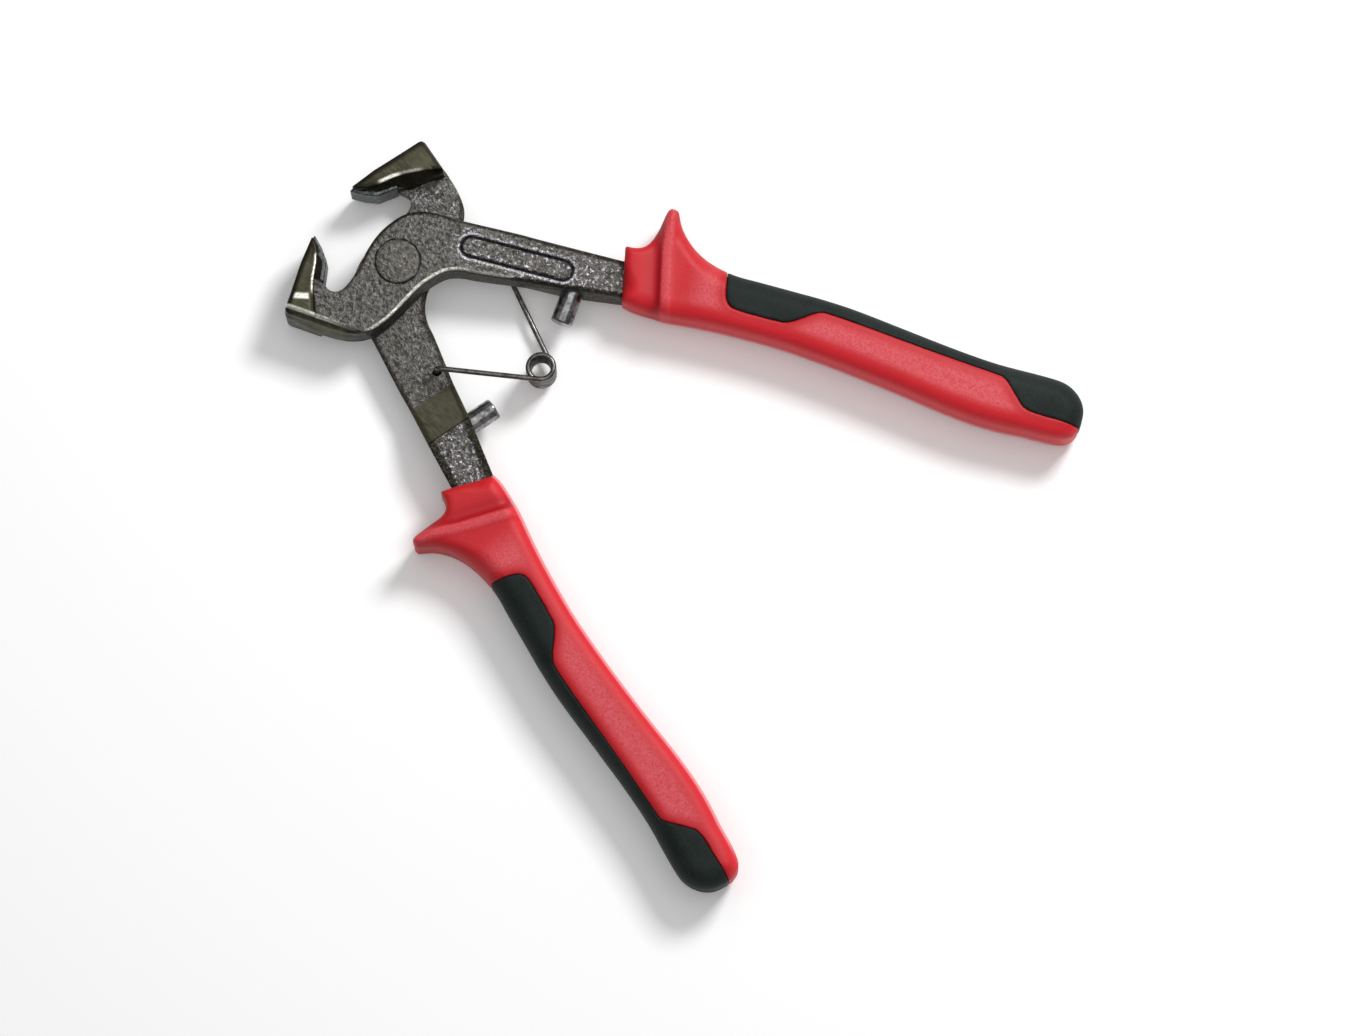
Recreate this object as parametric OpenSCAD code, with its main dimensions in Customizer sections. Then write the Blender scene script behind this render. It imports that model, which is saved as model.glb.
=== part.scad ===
// Mosaic nippers: two identical forged halves on one rivet, brazed carbide tips,
// stop pins, a torsion return spring and two-colour moulded grips.
// Each half is drawn closed, its lap face on z = 0, its jaw at -y and its grip at +y,
// then swung open about the rivet. Handles point along +X, the jaws along -X.

/* [Opening] */
// Angle between the two halves at rest, where the spring holds them
open_angle = 36; // [24:1:42]
// Gap left between the two halves where they lap
lap_gap = 0.1; // [0.05:0.01:0.3]

/* [Forged head] */
// Thickness of one half where the two lap
head_t = 8; // [6.5:0.1:8.6]
// Distance from the rivet to the mouth side of the head
neck_front = 8; // [7.5:0.1:9]
// Distance from the rivet to the handle side of the head
neck_back = 9.4; // [8.6:0.1:10.4]
// Depth of the ledge under the carbide tip, below the middle of the tool
mouth_depth = 11; // [10:0.1:12]
// Depth of the jaw's heel below the middle of the tool
heel_depth = 22.7; // [21.5:0.1:24.5]
// Chamfer along every forged edge
forge_edge = 0.9; // [0.4:0.1:1.4]

/* [Jaw] */
// Distance from the rivet to the jaw's outer face
jaw_reach = 22.4; // [21.5:0.1:24.5]
// Width of the jaw along the rivet
jaw_w = 16.4; // [14:0.1:17]
// Thickness of the steel finger behind the carbide tip
finger_t = 3.8; // [3.4:0.1:4.4]
// Radius of the jaw's outer corner
heel_r = 1.3; // [1:0.1:3]
// Width of the bevel ground along the heel
heel_bevel = 2.7; // [1.5:0.1:4]
// Chamfer along the ground edges of the jaw
jaw_edge = 0.6; // [0.3:0.1:1]
// Height by which each side of the jaw is ground down at the cutting edge
jaw_fall = 1.2; // [0:0.1:1.6]

/* [Carbide tip] */
// Thickness of the carbide tip
tip_t = 2.5; // [1.8:0.1:2.8]
// Width of the carbide tip along the rivet
tip_w = 10.4; // [8:0.1:11]
// Gap between the two cutting edges when the jaws are shut
tip_gap = 0.8; // [0.3:0.1:2]
// Thickness of the braze film round the tip
braze = 0.05; // [0.03:0.01:0.1]

/* [Rivet] */
// Diameter of the rivet's shank
rivet_d = 8; // [5:0.1:9]
// Diameter of each rivet head
rivet_head_d = 11.3; // [10:0.1:12]
// Depth that each rivet head is let into the forging
rivet_sink = 2.4; // [1.5:0.1:3]
// Height that each rivet head stands proud
rivet_proud = 0.5; // [0.2:0.05:0.8]
// Radial running clearance of the rivet
run_clear = 0.05; // [0.02:0.01:0.1]
// Width of the groove that shows round each rivet head
rivet_groove = 0.25; // [0.15:0.05:0.5]

/* [Shank] */
// Thickness of the shank where it enters the grip
shank_t = 8.4; // [7:0.1:10]
// Width of the shank beside the leg holes
shank_w = 12.4; // [11:0.1:14]
// Width of the shank where it enters the grip
shank_end_w = 9.4; // [7:0.1:9.8]
// Length of the tang inside the grip
tang_len = 92; // [60:1:100]
// Width of the bare panel pressed into the outer face
panel_w = 5.3; // [3:0.1:6]
// Length of the bare panel, end to end
panel_len = 30; // [15:0.5:32]
// Width of the groove round the panel
panel_groove = 0.8; // [0.4:0.1:1.2]
// Depth of the groove round the panel
panel_depth = 0.6; // [0.3:0.1:1]

/* [Stop pins] */
// Diameter of each stop pin
pin_d = 5.6; // [4:0.1:6]
// Distance of the stop pins from the rivet
pin_x = 43.3; // [42:0.1:45]
// Depth that each pin is pressed into its arm
pin_seat = 5; // [3:0.1:6]
// Gap between the two pins when the jaws are shut
pin_gap = 0.3; // [0.1:0.05:0.8]

/* [Return spring] */
// Diameter of the spring wire
wire_d = 1.35; // [1:0.05:1.4]
// Mean diameter of the coil
coil_d = 6.4; // [5.6:0.1:7]
// Whole turns in the coil, besides the part turn between its legs
coil_turns = 5; // [3:1:5]
// Gap between neighbouring turns
turn_gap = 0.43; // [0.41:0.01:0.5]
// Distance of the leg holes from the rivet, along the closed tool
hole_x = 27.5; // [26:0.1:29]
// Distance of the leg holes from the middle of the closed tool
hole_y = 7; // [6.8:0.1:8.5]
// Distance from the rear leg's hole to the axis of the coil
rear_reach = 25.9; // [25:0.1:26.5]
// Distance from the front leg's hole to the axis of the coil
front_reach = 24.5; // [24:0.1:25.5]
// Depth of each leg hole
hole_depth = 5; // [3:0.1:6]
// Radial clearance of the wire in its hole
leg_clear = 0.3; // [0.2:0.05:0.5]

/* [Grip] */
// Distance from the rivet to the front edge of the grip
grip_front = 53; // [52:0.1:55]
// Length of the grip from the guard to its end
grip_len = 114.5; // [105:0.5:125]
// Thickness of the grip
grip_t = 17; // [15:0.1:20]
// Width of the grip at the middle of its length
grip_w = 14.6; // [13.8:0.1:18]
// Height that the finger guard stands above the collar
guard_h = 12.6; // [6:0.1:14]
// Thickness of the dark insert
inlay_t = 2.2; // [1.2:0.1:2.6]
// Clearance between the moulded pieces and what they hold
mould_gap = 0.05; // [0.03:0.01:0.1]

/* [Hidden] */
$fn = 48;

STEEL = [0.27, 0.26, 0.23];
GROUND = [0.62, 0.65, 0.7];
WIRE = [0.2, 0.19, 0.18];
RED = [0.8, 0.14, 0.17];
DARK = [0.14, 0.17, 0.16];

// Middle of the tool above the face that it lies on
mid_z = max(head_t + rivet_proud, grip_t / 2);
half_open = open_angle / 2;
lap_z = lap_gap / 2;
// Longer than any cut
far = 100;

// A row after a and before d, at the share t of the way from b to c, on a smooth curve
function ease(a, b, c, d, t) =
    0.5 * (2 * b + (c - a) * t + (2 * a - 5 * b + 4 * c - d) * t * t
    + (3 * b - a - 3 * c + d) * t * t * t);

// Smooth curve through rows of numbers, with n steps between neighbours
function smooth(rows, n) = [
    for (i = [0 : len(rows) - 2])
        for (j = [0 : n - 1])
            ease(rows[max(i - 1, 0)], rows[i], rows[i + 1],
                rows[min(i + 2, len(rows) - 1)], j / n),
    rows[len(rows) - 1]
];

function sum(v, i = 0) = i == len(v) - 1 ? v[i] : v[i] + sum(v, i + 1);

// Rounded rectangle that stands across a half, from its inner to its outer edge.
// low and high hold the heights at both edges, r is the corner radius in k steps,
// and g grows the section outwards
function section(inner, outer, low, high, r, k, g = 0) =
    let (
        w = norm(outer - inner) + 2 * g,
        h = (high[0] + high[1] - low[0] - low[1]) / 2 + 2 * g,
        rr = min(r + g, 0.48 * w, 0.48 * h)
    ) [
        for (q = [0 : 3])
            for (j = [0 : k])
                let (
                    a = 90 * (q + j / k),
                    u = (q == 0 || q == 3 ? w / 2 - rr : rr - w / 2) + rr * cos(a),
                    v = (q < 2 ? h / 2 - rr : rr - h / 2) + rr * sin(a),
                    share = 0.5 + u / w,
                    p = inner + (outer - inner) * (0.5 + u / norm(outer - inner)),
                    bottom = low[0] + (low[1] - low[0]) * share - g,
                    top = high[0] + (high[1] - high[0]) * share + g
                ) [p[0], p[1], bottom + (top - bottom) * (0.5 + v / h)]
    ];

// Closed skin over a row of rings with as many points each, all faces triangles
module skin(rings) {
    n = len(rings[0]);
    m = len(rings);
    ends = [m * n, m * n + 1];
    last = (m - 1) * n;
    points = [for (ring = rings) each ring, sum(rings[0]) / n, sum(rings[m - 1]) / n];
    sides = [
        for (i = [0 : m - 2], j = [0 : n - 1])
            let (a = i * n + j, b = i * n + (j + 1) % n)
                each [[b, a, a + n], [b, a + n, b + n]]
    ];
    caps = [
        for (j = [0 : n - 1])
            let (k = (j + 1) % n)
                each [[ends[0], j, k], [ends[1], last + k, last + j]]
    ];
    polyhedron(points = points, faces = concat(sides, caps), convexity = 8);
}

function arc(centre, r, from, to, n) = [
    for (i = [0 : n]) centre + r * [
        cos(from + (to - from) * i / n),
        sin(from + (to - from) * i / n)
    ]
];

// Places a half, drawn closed, at rest in the tool
module front_half() {
    translate([0, 0, mid_z]) rotate([0, 0, half_open]) children();
}
module rear_half() {
    translate([0, 0, mid_z]) rotate([0, 0, -half_open]) rotate([180, 0, 0]) children();
}

// Forged half

// The outer face falls from the head to the grip, in one flat
taper_x = 15;
function top_at(x) = head_t - max(0, x - taper_x) * top_slope;
top_slope = (head_t - shank_t / 2) / (grip_front - taper_x);

// Behind the leg hole, a ground ramp brings the shank to the middle of the tool
ramp_x = pin_x - 11.5;
function bottom_at(x) =
    let (share = (x - ramp_x) / (pin_x - 1 - ramp_x))
        lap_z - (shank_t / 2 + lap_z) * min(1, max(0, share));

// The shank's inner edge starts at shank_x and rises towards the grip
shank_x = 20;
shank_y = 3.1;
shank_rise = 0.216;
function inner_y(x) = shank_y + max(0, x - shank_x) * shank_rise;

// The web between jaw and head: a ledge under the carbide tip, then a dip at the throat
ledge_y = -mouth_depth;
throat_dip = 1.4;

// Plan rows across the head, from the jaw to the shank: inner edge, then outer edge
head_rows = smooth([
    [-17.6, -heel_depth + 0.1, finger_t - jaw_reach - 0.6, ledge_y],
    [-14.2, -heel_depth - 0.3, -15.4, ledge_y],
    [-10.0, -heel_depth - 0.4, -13.9, ledge_y - 1],
    [-6.0, -heel_depth + 0.1, -12, ledge_y - throat_dip],
    [-2.6, -heel_depth + 1.3, -10.2, ledge_y - 0.5],
    [0.4, -18.6, -neck_front - 1, -8.6],
    [neck_back - 6.2, -14.6, -neck_front - 0.4, -4.7],
    [neck_back - 4, -9.8, -neck_front, 0],
    [neck_back - 2, -5.2, -neck_front + 1, 4.4],
    [neck_back, -2, -neck_front + 2.8, 8.2],
    [12.4, 0.9, -1.9, shank_w],
    [15.8, 2.4, 3.6, shank_w + 2.5],
    [shank_x, shank_y, shank_x - 8, shank_y + shank_w]
], 3);
shank_rows = [
    [hole_x, inner_y(hole_x), hole_x - 2, inner_y(hole_x) + shank_w],
    [ramp_x + 0.9, inner_y(ramp_x + 0.9), ramp_x - 0.9, inner_y(ramp_x) + shank_w - 0.5],
    [pin_x - 1, inner_y(pin_x - 1), pin_x - 1, inner_y(pin_x - 1) + shank_w - 1.6],
    [grip_front + 2.4, inner_y(grip_front + 2.4), grip_front + 2,
        inner_y(grip_front + 2) + shank_end_w]
];
tang_y = inner_y(grip_front + 2) + shank_end_w / 2 - 0.2;
tang_rows = [
    [grip_front + 22, tang_y - 1, grip_front + 22, tang_y + 6.4],
    [grip_front + 46, tang_y + 2, grip_front + 46, tang_y + 8.4],
    [grip_front + 2 + tang_len, tang_y + 2, grip_front + 2 + tang_len, tang_y + 6.6]
];
// Thickness of the tang at its end
tang_t = 5;

// Heights of a plan row: the shank and head first, then the thinning tang
function arm_section(row, g = 0) =
    let (
        x = [row[0], row[2]],
        thin = min(1, max(0, (x[0] - grip_front - 2) / tang_len)),
        half = shank_t / 2 + (tang_t - shank_t) / 2 * thin,
        inside = x[0] > grip_front + 3
    ) section(
        [row[0], row[1]], [row[2], row[3]],
        inside ? [-half, -half] : [bottom_at(x[0]), bottom_at(x[1])],
        inside ? [half, half] : [top_at(x[0]), top_at(x[1])],
        forge_edge, 1, g
    );

// Corner points of the carbide tip in plan: seat, cutting edge, ground face, foot
seat_foot = [finger_t - jaw_reach, ledge_y];
seat_head = [2.2 - jaw_reach, ledge_y + 7.5];
tip_edge = [0.4 - jaw_reach, -tip_gap / 2];
tip_back = [0.25 - jaw_reach, -tip_gap / 2 - 0.9];
seat_lean = (seat_foot[0] - seat_head[0]) / (seat_head[1] - seat_foot[1]);
foot_w = tip_t * sqrt(1 + seat_lean * seat_lean);
face_foot = seat_foot + [foot_w, 0];
face_head = face_foot + 5.6 * [-seat_lean, 1];
face_crown = (face_head + tip_edge) / 2 + [0.2, 0.15];

// Jaw in plan: the outer face, the heel, then the inner edge up to the cutting edge. foot
// spreads the inner edge towards the web, lip carries it out to the face of the carbide tip
function jaw_plan(foot, lip) =
    let (
        corner = [heel_r + 0.3 - jaw_reach, heel_r - heel_depth],
        seat_mid = (seat_foot + seat_head) / 2
    ) concat(
        [tip_back - [braze, braze], [-jaw_reach, -8], [0.2 - jaw_reach, -14]],
        arc(corner, heel_r, 184, 268, 5),
        [
            [9.2 + 0.6 * foot - jaw_reach, -heel_depth],
            [6.8 + 1.4 * foot - jaw_reach, 4.2 - heel_depth],
            [4.5 + 3 * foot - jaw_reach, 8.8 - heel_depth],
            seat_foot + lip * [foot_w - 0.15, 0],
            seat_mid + lip * [foot_w - 0.25, 0],
            seat_head + lip * [0.5, 0.6]
        ]
    );

// A closed outline moved inwards by g
function inset(outline, g) = [
    for (i = [0 : len(outline) - 1])
        let (
            n = len(outline),
            before = outline[i] - outline[(i + n - 1) % n],
            after = outline[(i + 1) % n] - outline[i],
            a = [-before[1], before[0]] / norm(before),
            b = [-after[1], after[0]] / norm(after)
        ) outline[i] + g * (a + b) / (1 + a * b)
];

// Ring round the jaw at the height z. Towards the cutting edge a ground ring falls by jaw_fall
fall_y = -16.6;
function jaw_ring(z, foot, lip, fall, cut = 0) = [
    for (p = inset(jaw_plan(foot, lip), cut))
        [p[0], p[1], z - sign(z) * fall * max(0, 1 - p[1] / fall_y)]
];
module jaw_steel() {
    side = jaw_w / 2;
    pocket = tip_w / 2 + braze;
    difference() {
        skin([
            jaw_ring(-side, 0, 0, jaw_fall, jaw_edge),
            jaw_ring(jaw_edge - side, 0, 0, jaw_fall),
            jaw_ring(-pocket, 0.5, 1, 0),
            jaw_ring(-0.4, 1, 1, 0),
            jaw_ring(pocket, 1, 1, 0),
            jaw_ring(side - jaw_edge, 0, 0, jaw_fall),
            jaw_ring(side, 0, 0, jaw_fall, jaw_edge)
        ]);
        // pocket for the carbide tip
        linear_extrude(height = 2 * pocket, center = true)
            polygon([
                seat_foot - [braze, braze], seat_foot + [5, -braze], seat_head + [5, 5],
                tip_back + [0, 3], tip_back - [braze, braze], seat_head - [braze, 0]
            ]);
    }
}

// Bare panel on the outer face: its middle and its turn to the tool's length
panel_at = [29.5, 11.1];
panel_turn = 3;
module panel_ring() {
    run = (panel_len - panel_w) / 2;
    difference() {
        stadium(run, panel_w / 2);
        stadium(run, panel_w / 2 - panel_groove);
    }
}
module stadium(run, r) {
    square([2 * run, 2 * r], center = true);
    for (side = [-1, 1]) translate([side * run, 0]) circle(r);
}

module forged_half() {
    difference() {
        union() {
            skin([for (row = concat(head_rows, shank_rows, tang_rows)) arm_section(row)]);
            jaw_steel();
        }
        // bevel ground along the heel, on the outer face
        translate([-far / 2, heel_bevel - heel_depth, jaw_w / 2])
            rotate([45, 0, 0]) translate([0, -far, 0]) cube([far, far, far / 4]);
        // rivet bore and the recess for its head
        translate([0, 0, -far / 2]) cylinder(h = far, d = rivet_d + 2 * run_clear);
        translate([0, 0, head_t - rivet_sink - run_clear])
            cylinder(h = far, d = rivet_head_d + 2 * rivet_groove);
        // blind hole for the spring's leg
        translate([hole_x, hole_y, lap_z - 1])
            cylinder(h = hole_depth + 1, d = wire_d + 2 * leg_clear);
        // blind hole for the stop pin
        translate([pin_x, inner_y(pin_x) + pin_seat, 0]) rotate([90, 0, 0])
            cylinder(h = pin_seat + 2, d = pin_d + 2 * braze);
        // groove round the bare panel
        translate([each panel_at, top_at(panel_at[0])])
            rotate([0, atan(top_slope), 0]) rotate([0, 0, panel_turn])
                translate([0, 0, -panel_depth])
                    linear_extrude(height = 5) panel_ring();
    }
}

module front_arm() {
    color(STEEL) front_half() forged_half();
}
module rear_arm() {
    color(STEEL) rear_half() forged_half();
}

// Carbide tip, brazed on the mouth side of the steel finger and ground to an edge
module jaw_tip() {
    lift = [0, 2 * braze];
    linear_extrude(height = tip_w, center = true)
        polygon([
            seat_foot + lift, face_foot + lift, face_head, face_crown,
            tip_edge, tip_back, seat_head
        ]);
}
module front_jaw_tip() {
    color(GROUND) front_half() jaw_tip();
}
module rear_jaw_tip() {
    color(GROUND) rear_half() jaw_tip();
}

// Rivet with a head let into each half
module pivot_rivet() {
    r = rivet_head_d / 2;
    tip = head_t + rivet_proud;
    under = head_t - rivet_sink;
    ease_edge = 0.35;
    color(STEEL) translate([0, 0, mid_z]) rotate_extrude()
        polygon([
            [0, -tip], [r - ease_edge, -tip], [r, ease_edge - tip], [r, -under],
            [rivet_d / 2, -under], [rivet_d / 2, under],
            [r, under], [r, tip - ease_edge], [r - ease_edge, tip], [0, tip]
        ]);
}

// Stop pin, pressed into the inner edge of its arm
module stop_pin() {
    r = pin_d / 2;
    bevel = 0.5;
    length = inner_y(pin_x) + pin_seat - braze - pin_gap / 2;
    translate([pin_x, pin_gap / 2, 0]) rotate([-90, 0, 0]) rotate_extrude()
        polygon([
            [0, 0], [r - bevel, 0], [r, bevel], [r, length - bevel],
            [r - bevel, length], [0, length]
        ]);
}
module front_stop_pin() {
    color(GROUND) front_half() stop_pin();
}
module rear_stop_pin() {
    color(GROUND) rear_half() stop_pin();
}

// Return spring: a coil between the arms, with a leg hooked into each of them

hole_r = norm([hole_x, hole_y]);
hole_angle = atan2(hole_y, hole_x);
coil_r = coil_d / 2;
wire_r = wire_d / 2;
// Radius of the bend where a leg turns out of its hole, and the depth that it reaches
leg_bend = 1.6;
leg_foot = hole_depth - 1;
// Gap between the two nodes that the spring is split into
split_gap = 0.15;

// With the halves swung out by swing each: half the distance between the leg holes, how far
// the longer rear leg puts the coil's axis off the tool's middle line, and the angle of the
// line from each hole to that axis
function hole_half(swing) = hole_r * sin(hole_angle + swing);
function coil_y(swing) =
    (rear_reach * rear_reach - front_reach * front_reach) / (4 * hole_half(swing));
function rear_angle(swing) = asin((hole_half(swing) + coil_y(swing)) / rear_reach);
function front_angle(swing) = asin((hole_half(swing) - coil_y(swing)) / front_reach);
function coil_axis(swing) = [
    hole_r * cos(hole_angle + swing) + rear_reach * cos(rear_angle(swing)), coil_y(swing)
];

rest_axis = coil_axis(half_open);
rear_heading = rear_angle(half_open) - asin(coil_r / rear_reach);
front_heading = front_angle(half_open) - asin(coil_r / front_reach);
wrap = 360 * coil_turns + 180 - rear_heading - front_heading;
pitch = wire_d + turn_gap;
coil_h = pitch * wrap / 360;
leg_z = coil_h / 2;
helix_slope = atan(pitch / (PI * coil_d));
curl_steps = 8;

// Path rows: place, heading and slope. A leg rises from its hole and turns to the coil,
// where it stops short by the wire's diameter
hole_at = hole_r * [cos(hole_angle + half_open), -sin(hole_angle + half_open)];
function flat(angle) = [cos(angle), sin(angle)];
function leg_path(heading, reach) =
    let (run = sqrt(reach * reach - coil_r * coil_r) - wire_d) [
        [each hole_at, -leg_foot, heading, 90],
        for (i = [0 : 3])
            let (a = 30 * i, out = leg_bend * (1 - cos(a)))
                [each hole_at + out * flat(heading),
                    leg_z - leg_bend + leg_bend * sin(a), heading, 90 - a],
        [each hole_at + run * flat(heading), leg_z, heading, 0]
    ];
helix_steps = ceil(wrap * curl_steps / 360);
helix_path = [
    for (i = [0 : helix_steps])
        let (turned = wrap * i / helix_steps, a = rear_heading - 90 + turned)
            [rest_axis[0] + coil_r * cos(a), rest_axis[1] + coil_r * sin(a),
                leg_z - coil_h * i / helix_steps, rear_heading + turned, -helix_slope]
];
exit_heading = 180 - front_heading;
exit_point = rest_axis + coil_r * flat(exit_heading - 90);
stub_end = [[each exit_point + wire_d * flat(exit_heading), -leg_z, exit_heading, 0]];
// The front leg is one more leg turned over, and starts where the coil's wire ends
turned_leg = leg_path(front_heading, front_reach);
front_leg_path = [
    [each exit_point + (wire_d + split_gap) * flat(exit_heading), -leg_z, exit_heading, 0],
    for (i = [4 : -1 : 1])
        let (p = turned_leg[i]) [p[0], -p[1], -p[2], exit_heading, p[4]],
    [hole_at[0], -hole_at[1], leg_foot, exit_heading, 90]
];

// Six-sided wire along a path
module wire(path) {
    skin([
        for (p = path)
            let (
                side = [-sin(p[3]), cos(p[3]), 0],
                ahead = [cos(p[3]) * cos(p[4]), sin(p[3]) * cos(p[4]), sin(p[4])],
                up = cross(side, ahead)
            ) [
                for (s = [0 : 5])
                    [p[0], p[1], p[2]] + wire_r * (cos(60 * s) * side - sin(60 * s) * up)
            ]
    ]);
}

// Least gap between turns, measured between the points of the coil
function place(p) = [p[0], p[1], p[2]];
least_gap = min([
    for (i = [0 : helix_steps], j = [i + curl_steps / 2 : helix_steps])
        norm(place(helix_path[i]) - place(helix_path[j]))
]) - wire_d;
echo(least_gap_between_turns = least_gap);
echo(
    coil_rest = rest_axis, coil_closed = coil_axis(0), hole = hole_at,
    leg_swing = rear_angle(half_open) - rear_angle(0) + half_open,
    coil_wind = rear_angle(half_open) + front_angle(half_open) - rear_angle(0) - front_angle(0)
);

module return_spring() {
    color(WIRE) translate([0, 0, mid_z])
        wire(concat(leg_path(rear_heading, rear_reach), helix_path, stub_end));
}
module return_spring_front_leg() {
    color(WIRE) translate([0, 0, mid_z]) wire(front_leg_path);
}

// Grip

guard_x = grip_front + 7.8;
grip_in = inner_y(grip_front) - 0.45;
collar_w = 14.5;
function along(share) = guard_x + grip_len * share;

// Rows across the grip: inner edge, outer edge, half its thickness, corner radius
collar_y = grip_in + collar_w;
guard_y = collar_y + guard_h;
half_t = grip_t / 2;
collar_rows = [
    [guard_x - 4, grip_in + 0.3, guard_x - 7.8, collar_y - 0.6, half_t - 0.9, 4],
    [guard_x - 1.4, grip_in, guard_x - 4.1, collar_y + 0.8, half_t - 1.3, 4.5],
    [guard_x + 0.2, grip_in, guard_x - 2, collar_y + 0.2 * guard_h, half_t - 1.5, 5],
    [guard_x + 1.1, grip_in, guard_x - 1.2, collar_y + 0.6 * guard_h, half_t - 1, 5.5],
    [guard_x + 1.9, grip_in, guard_x - 0.6, guard_y - 0.8, half_t - 0.1, 6],
    [guard_x + 2.8, grip_in, guard_x + 0.7, guard_y, half_t, 6],
    [guard_x + 3.6, grip_in + 0.1, guard_x + 2.1, guard_y - 1, half_t, 6]
];
// Share of the length, inner edge, width more than the middle, thickness less
hand_rows = [
    for (r = [
        [0.036, 0.1, 8.1, 0], [0.06, 0.4, 5, 0], [0.092, 1, 2.6, 0.1],
        [0.144, 1.8, 0.3, 0.2], [0.214, 2.8, -0.9, 0.3], [0.318, 3.7, -0.6, 0.3],
        [0.457, 3.7, 0, 0.2], [0.597, 2.9, 0, 0.1], [0.7, 2.1, 0.5, 0],
        [0.788, 1.9, 0.9, 0], [0.875, 2.5, 1.1, 0], [0.931, 3.5, 0.2, 0.3],
        [0.97, 4.7, -3, 1.3], [0.99, 6.3, -7.2, 3], [1, 8.4, -11.6, 5.4]
    ])
        [along(r[0]), grip_in + r[1], along(r[0]), grip_in + r[1] + grip_w + r[2],
            half_t - r[3], 6]
];
grip_rows = smooth(concat(collar_rows, hand_rows), 2);

function grip_section(row, g = 0) =
    let (half = min(row[4], half_t))
        section(
            [row[0], row[1]], [row[2], row[3]], [-half, -half], [half, half], row[5], 3, g
        );

// Outer skin of the grip, and the core under the dark insert, grown outwards by g
module grip_form() {
    skin([for (row = grip_rows) grip_section(row)]);
}
module inlay_core(g = 0) {
    core_end = along(1) - 2 * inlay_t;
    skin([for (row = grip_rows) if (row[0] < core_end) grip_section(row, g - inlay_t)]);
}

// Region in plan that the dark insert covers, its edge moved outwards by g
module inlay_region(g = 0) {
    edge = smooth([
        for (p = [
            [0.178, 20], [0.182, 11.2], [0.2, 8.4], [0.33, 9.6], [0.352, 10.8],
            [0.392, 14.6], [0.41, 15.3], [0.5, 15.1], [0.65, 14.6], [0.81, 14.5],
            [0.828, 14], [0.872, 9.9], [0.9, 9.1], [1.04, 9.7]
        ]) [along(p[0]) - g, grip_in + p[1] - g]
    ], 2);
    translate([0, 0, -far / 2]) linear_extrude(height = far)
        polygon(concat(edge, [[along(1.1), grip_in + 9], [along(1.1), 60], [along(0.178) - g, 60]]));
}

module moulded_grip() {
    difference() {
        grip_form();
        // pocket for the tang and the end of the shank
        skin([for (row = concat(shank_rows, tang_rows)) arm_section(row, mould_gap)]);
        // recess for the dark insert
        difference() {
            inlay_region(mould_gap);
            inlay_core(-mould_gap);
        }
    }
}
module grip_inlay() {
    difference() {
        intersection() {
            grip_form();
            inlay_region();
        }
        inlay_core();
    }
}

module front_grip() {
    color(RED) front_half() moulded_grip();
}
module rear_grip() {
    color(RED) rear_half() moulded_grip();
}
module front_grip_inlay() {
    color(DARK) front_half() grip_inlay();
}
module rear_grip_inlay() {
    color(DARK) rear_half() grip_inlay();
}

front_arm();
rear_arm();
front_jaw_tip();
rear_jaw_tip();
pivot_rivet();
front_stop_pin();
rear_stop_pin();
return_spring();
return_spring_front_leg();
front_grip();
rear_grip();
front_grip_inlay();
rear_grip_inlay();
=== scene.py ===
from functools import cached_property, partial
from math import asin, atan2, ceil, cos, hypot, pi, radians, sin, sqrt

import bpy
import numpy as np
from mathutils import Matrix, Vector


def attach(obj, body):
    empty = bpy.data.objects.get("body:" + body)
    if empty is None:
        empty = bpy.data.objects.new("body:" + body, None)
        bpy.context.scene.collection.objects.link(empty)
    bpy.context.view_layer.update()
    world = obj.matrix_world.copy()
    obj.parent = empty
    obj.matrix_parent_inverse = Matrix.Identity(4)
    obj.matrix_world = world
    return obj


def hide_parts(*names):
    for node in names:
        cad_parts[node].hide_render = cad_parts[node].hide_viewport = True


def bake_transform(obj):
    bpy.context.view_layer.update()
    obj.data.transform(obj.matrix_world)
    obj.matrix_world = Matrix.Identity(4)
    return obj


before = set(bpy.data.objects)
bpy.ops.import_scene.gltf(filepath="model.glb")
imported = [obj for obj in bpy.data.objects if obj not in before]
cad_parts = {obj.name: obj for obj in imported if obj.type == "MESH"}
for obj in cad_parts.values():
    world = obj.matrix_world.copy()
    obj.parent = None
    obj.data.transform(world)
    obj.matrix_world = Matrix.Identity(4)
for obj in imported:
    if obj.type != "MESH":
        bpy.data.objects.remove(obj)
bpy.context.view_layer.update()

# Lengths in this script are millimetres until a mesh is written; MM turns them to metres.
# Each half is drawn closed, its lap face on z = 0, its jaw at -y and its grip at +y, and
# placed open about the rivet, as in the CAD model.
MM = 0.001
HALF_OPEN = 18
MID_Z = 8.5
FRONT = Matrix.Translation((0, 0, MID_Z * MM)) @ Matrix.Rotation(radians(HALF_OPEN), 4, "Z")
REAR = (
    Matrix.Translation((0, 0, MID_Z * MM))
    @ Matrix.Rotation(radians(-HALF_OPEN), 4, "Z")
    @ Matrix.Rotation(pi, 4, "X")
)


# What grinding and moulding leave different between the two halves: the height of the shank's
# inner edge and of the heel, how far the grip's collar, guard and end sit along the tang and how
# far it sits outward, and the insert's edge
HALVES = {
    "front": {"place": FRONT, "shank": 0.35, "heel": 0.6, "collar": -0.8, "guard": 0.4,
              "end": -0.3, "outward": -0.25, "insert": -0.4},
    "rear": {"place": REAR, "shank": -0.2, "heel": 0.1, "collar": 1.2, "guard": -0.7,
             "end": 0.2, "outward": 0, "insert": 0.3},
}


# Shapes: signed distances in millimetres, less than 0 inside

# Outline sides shorter than this are skipped, and points on an axis keep a tiny radius
SHORTEST, AXIS_R = 1e-6, 1e-4
# How closely each kind of piece is sampled
TIP_STEP, FORGING_STEP, GRIP_STEP = 0.2, 0.28, 0.42


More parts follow.
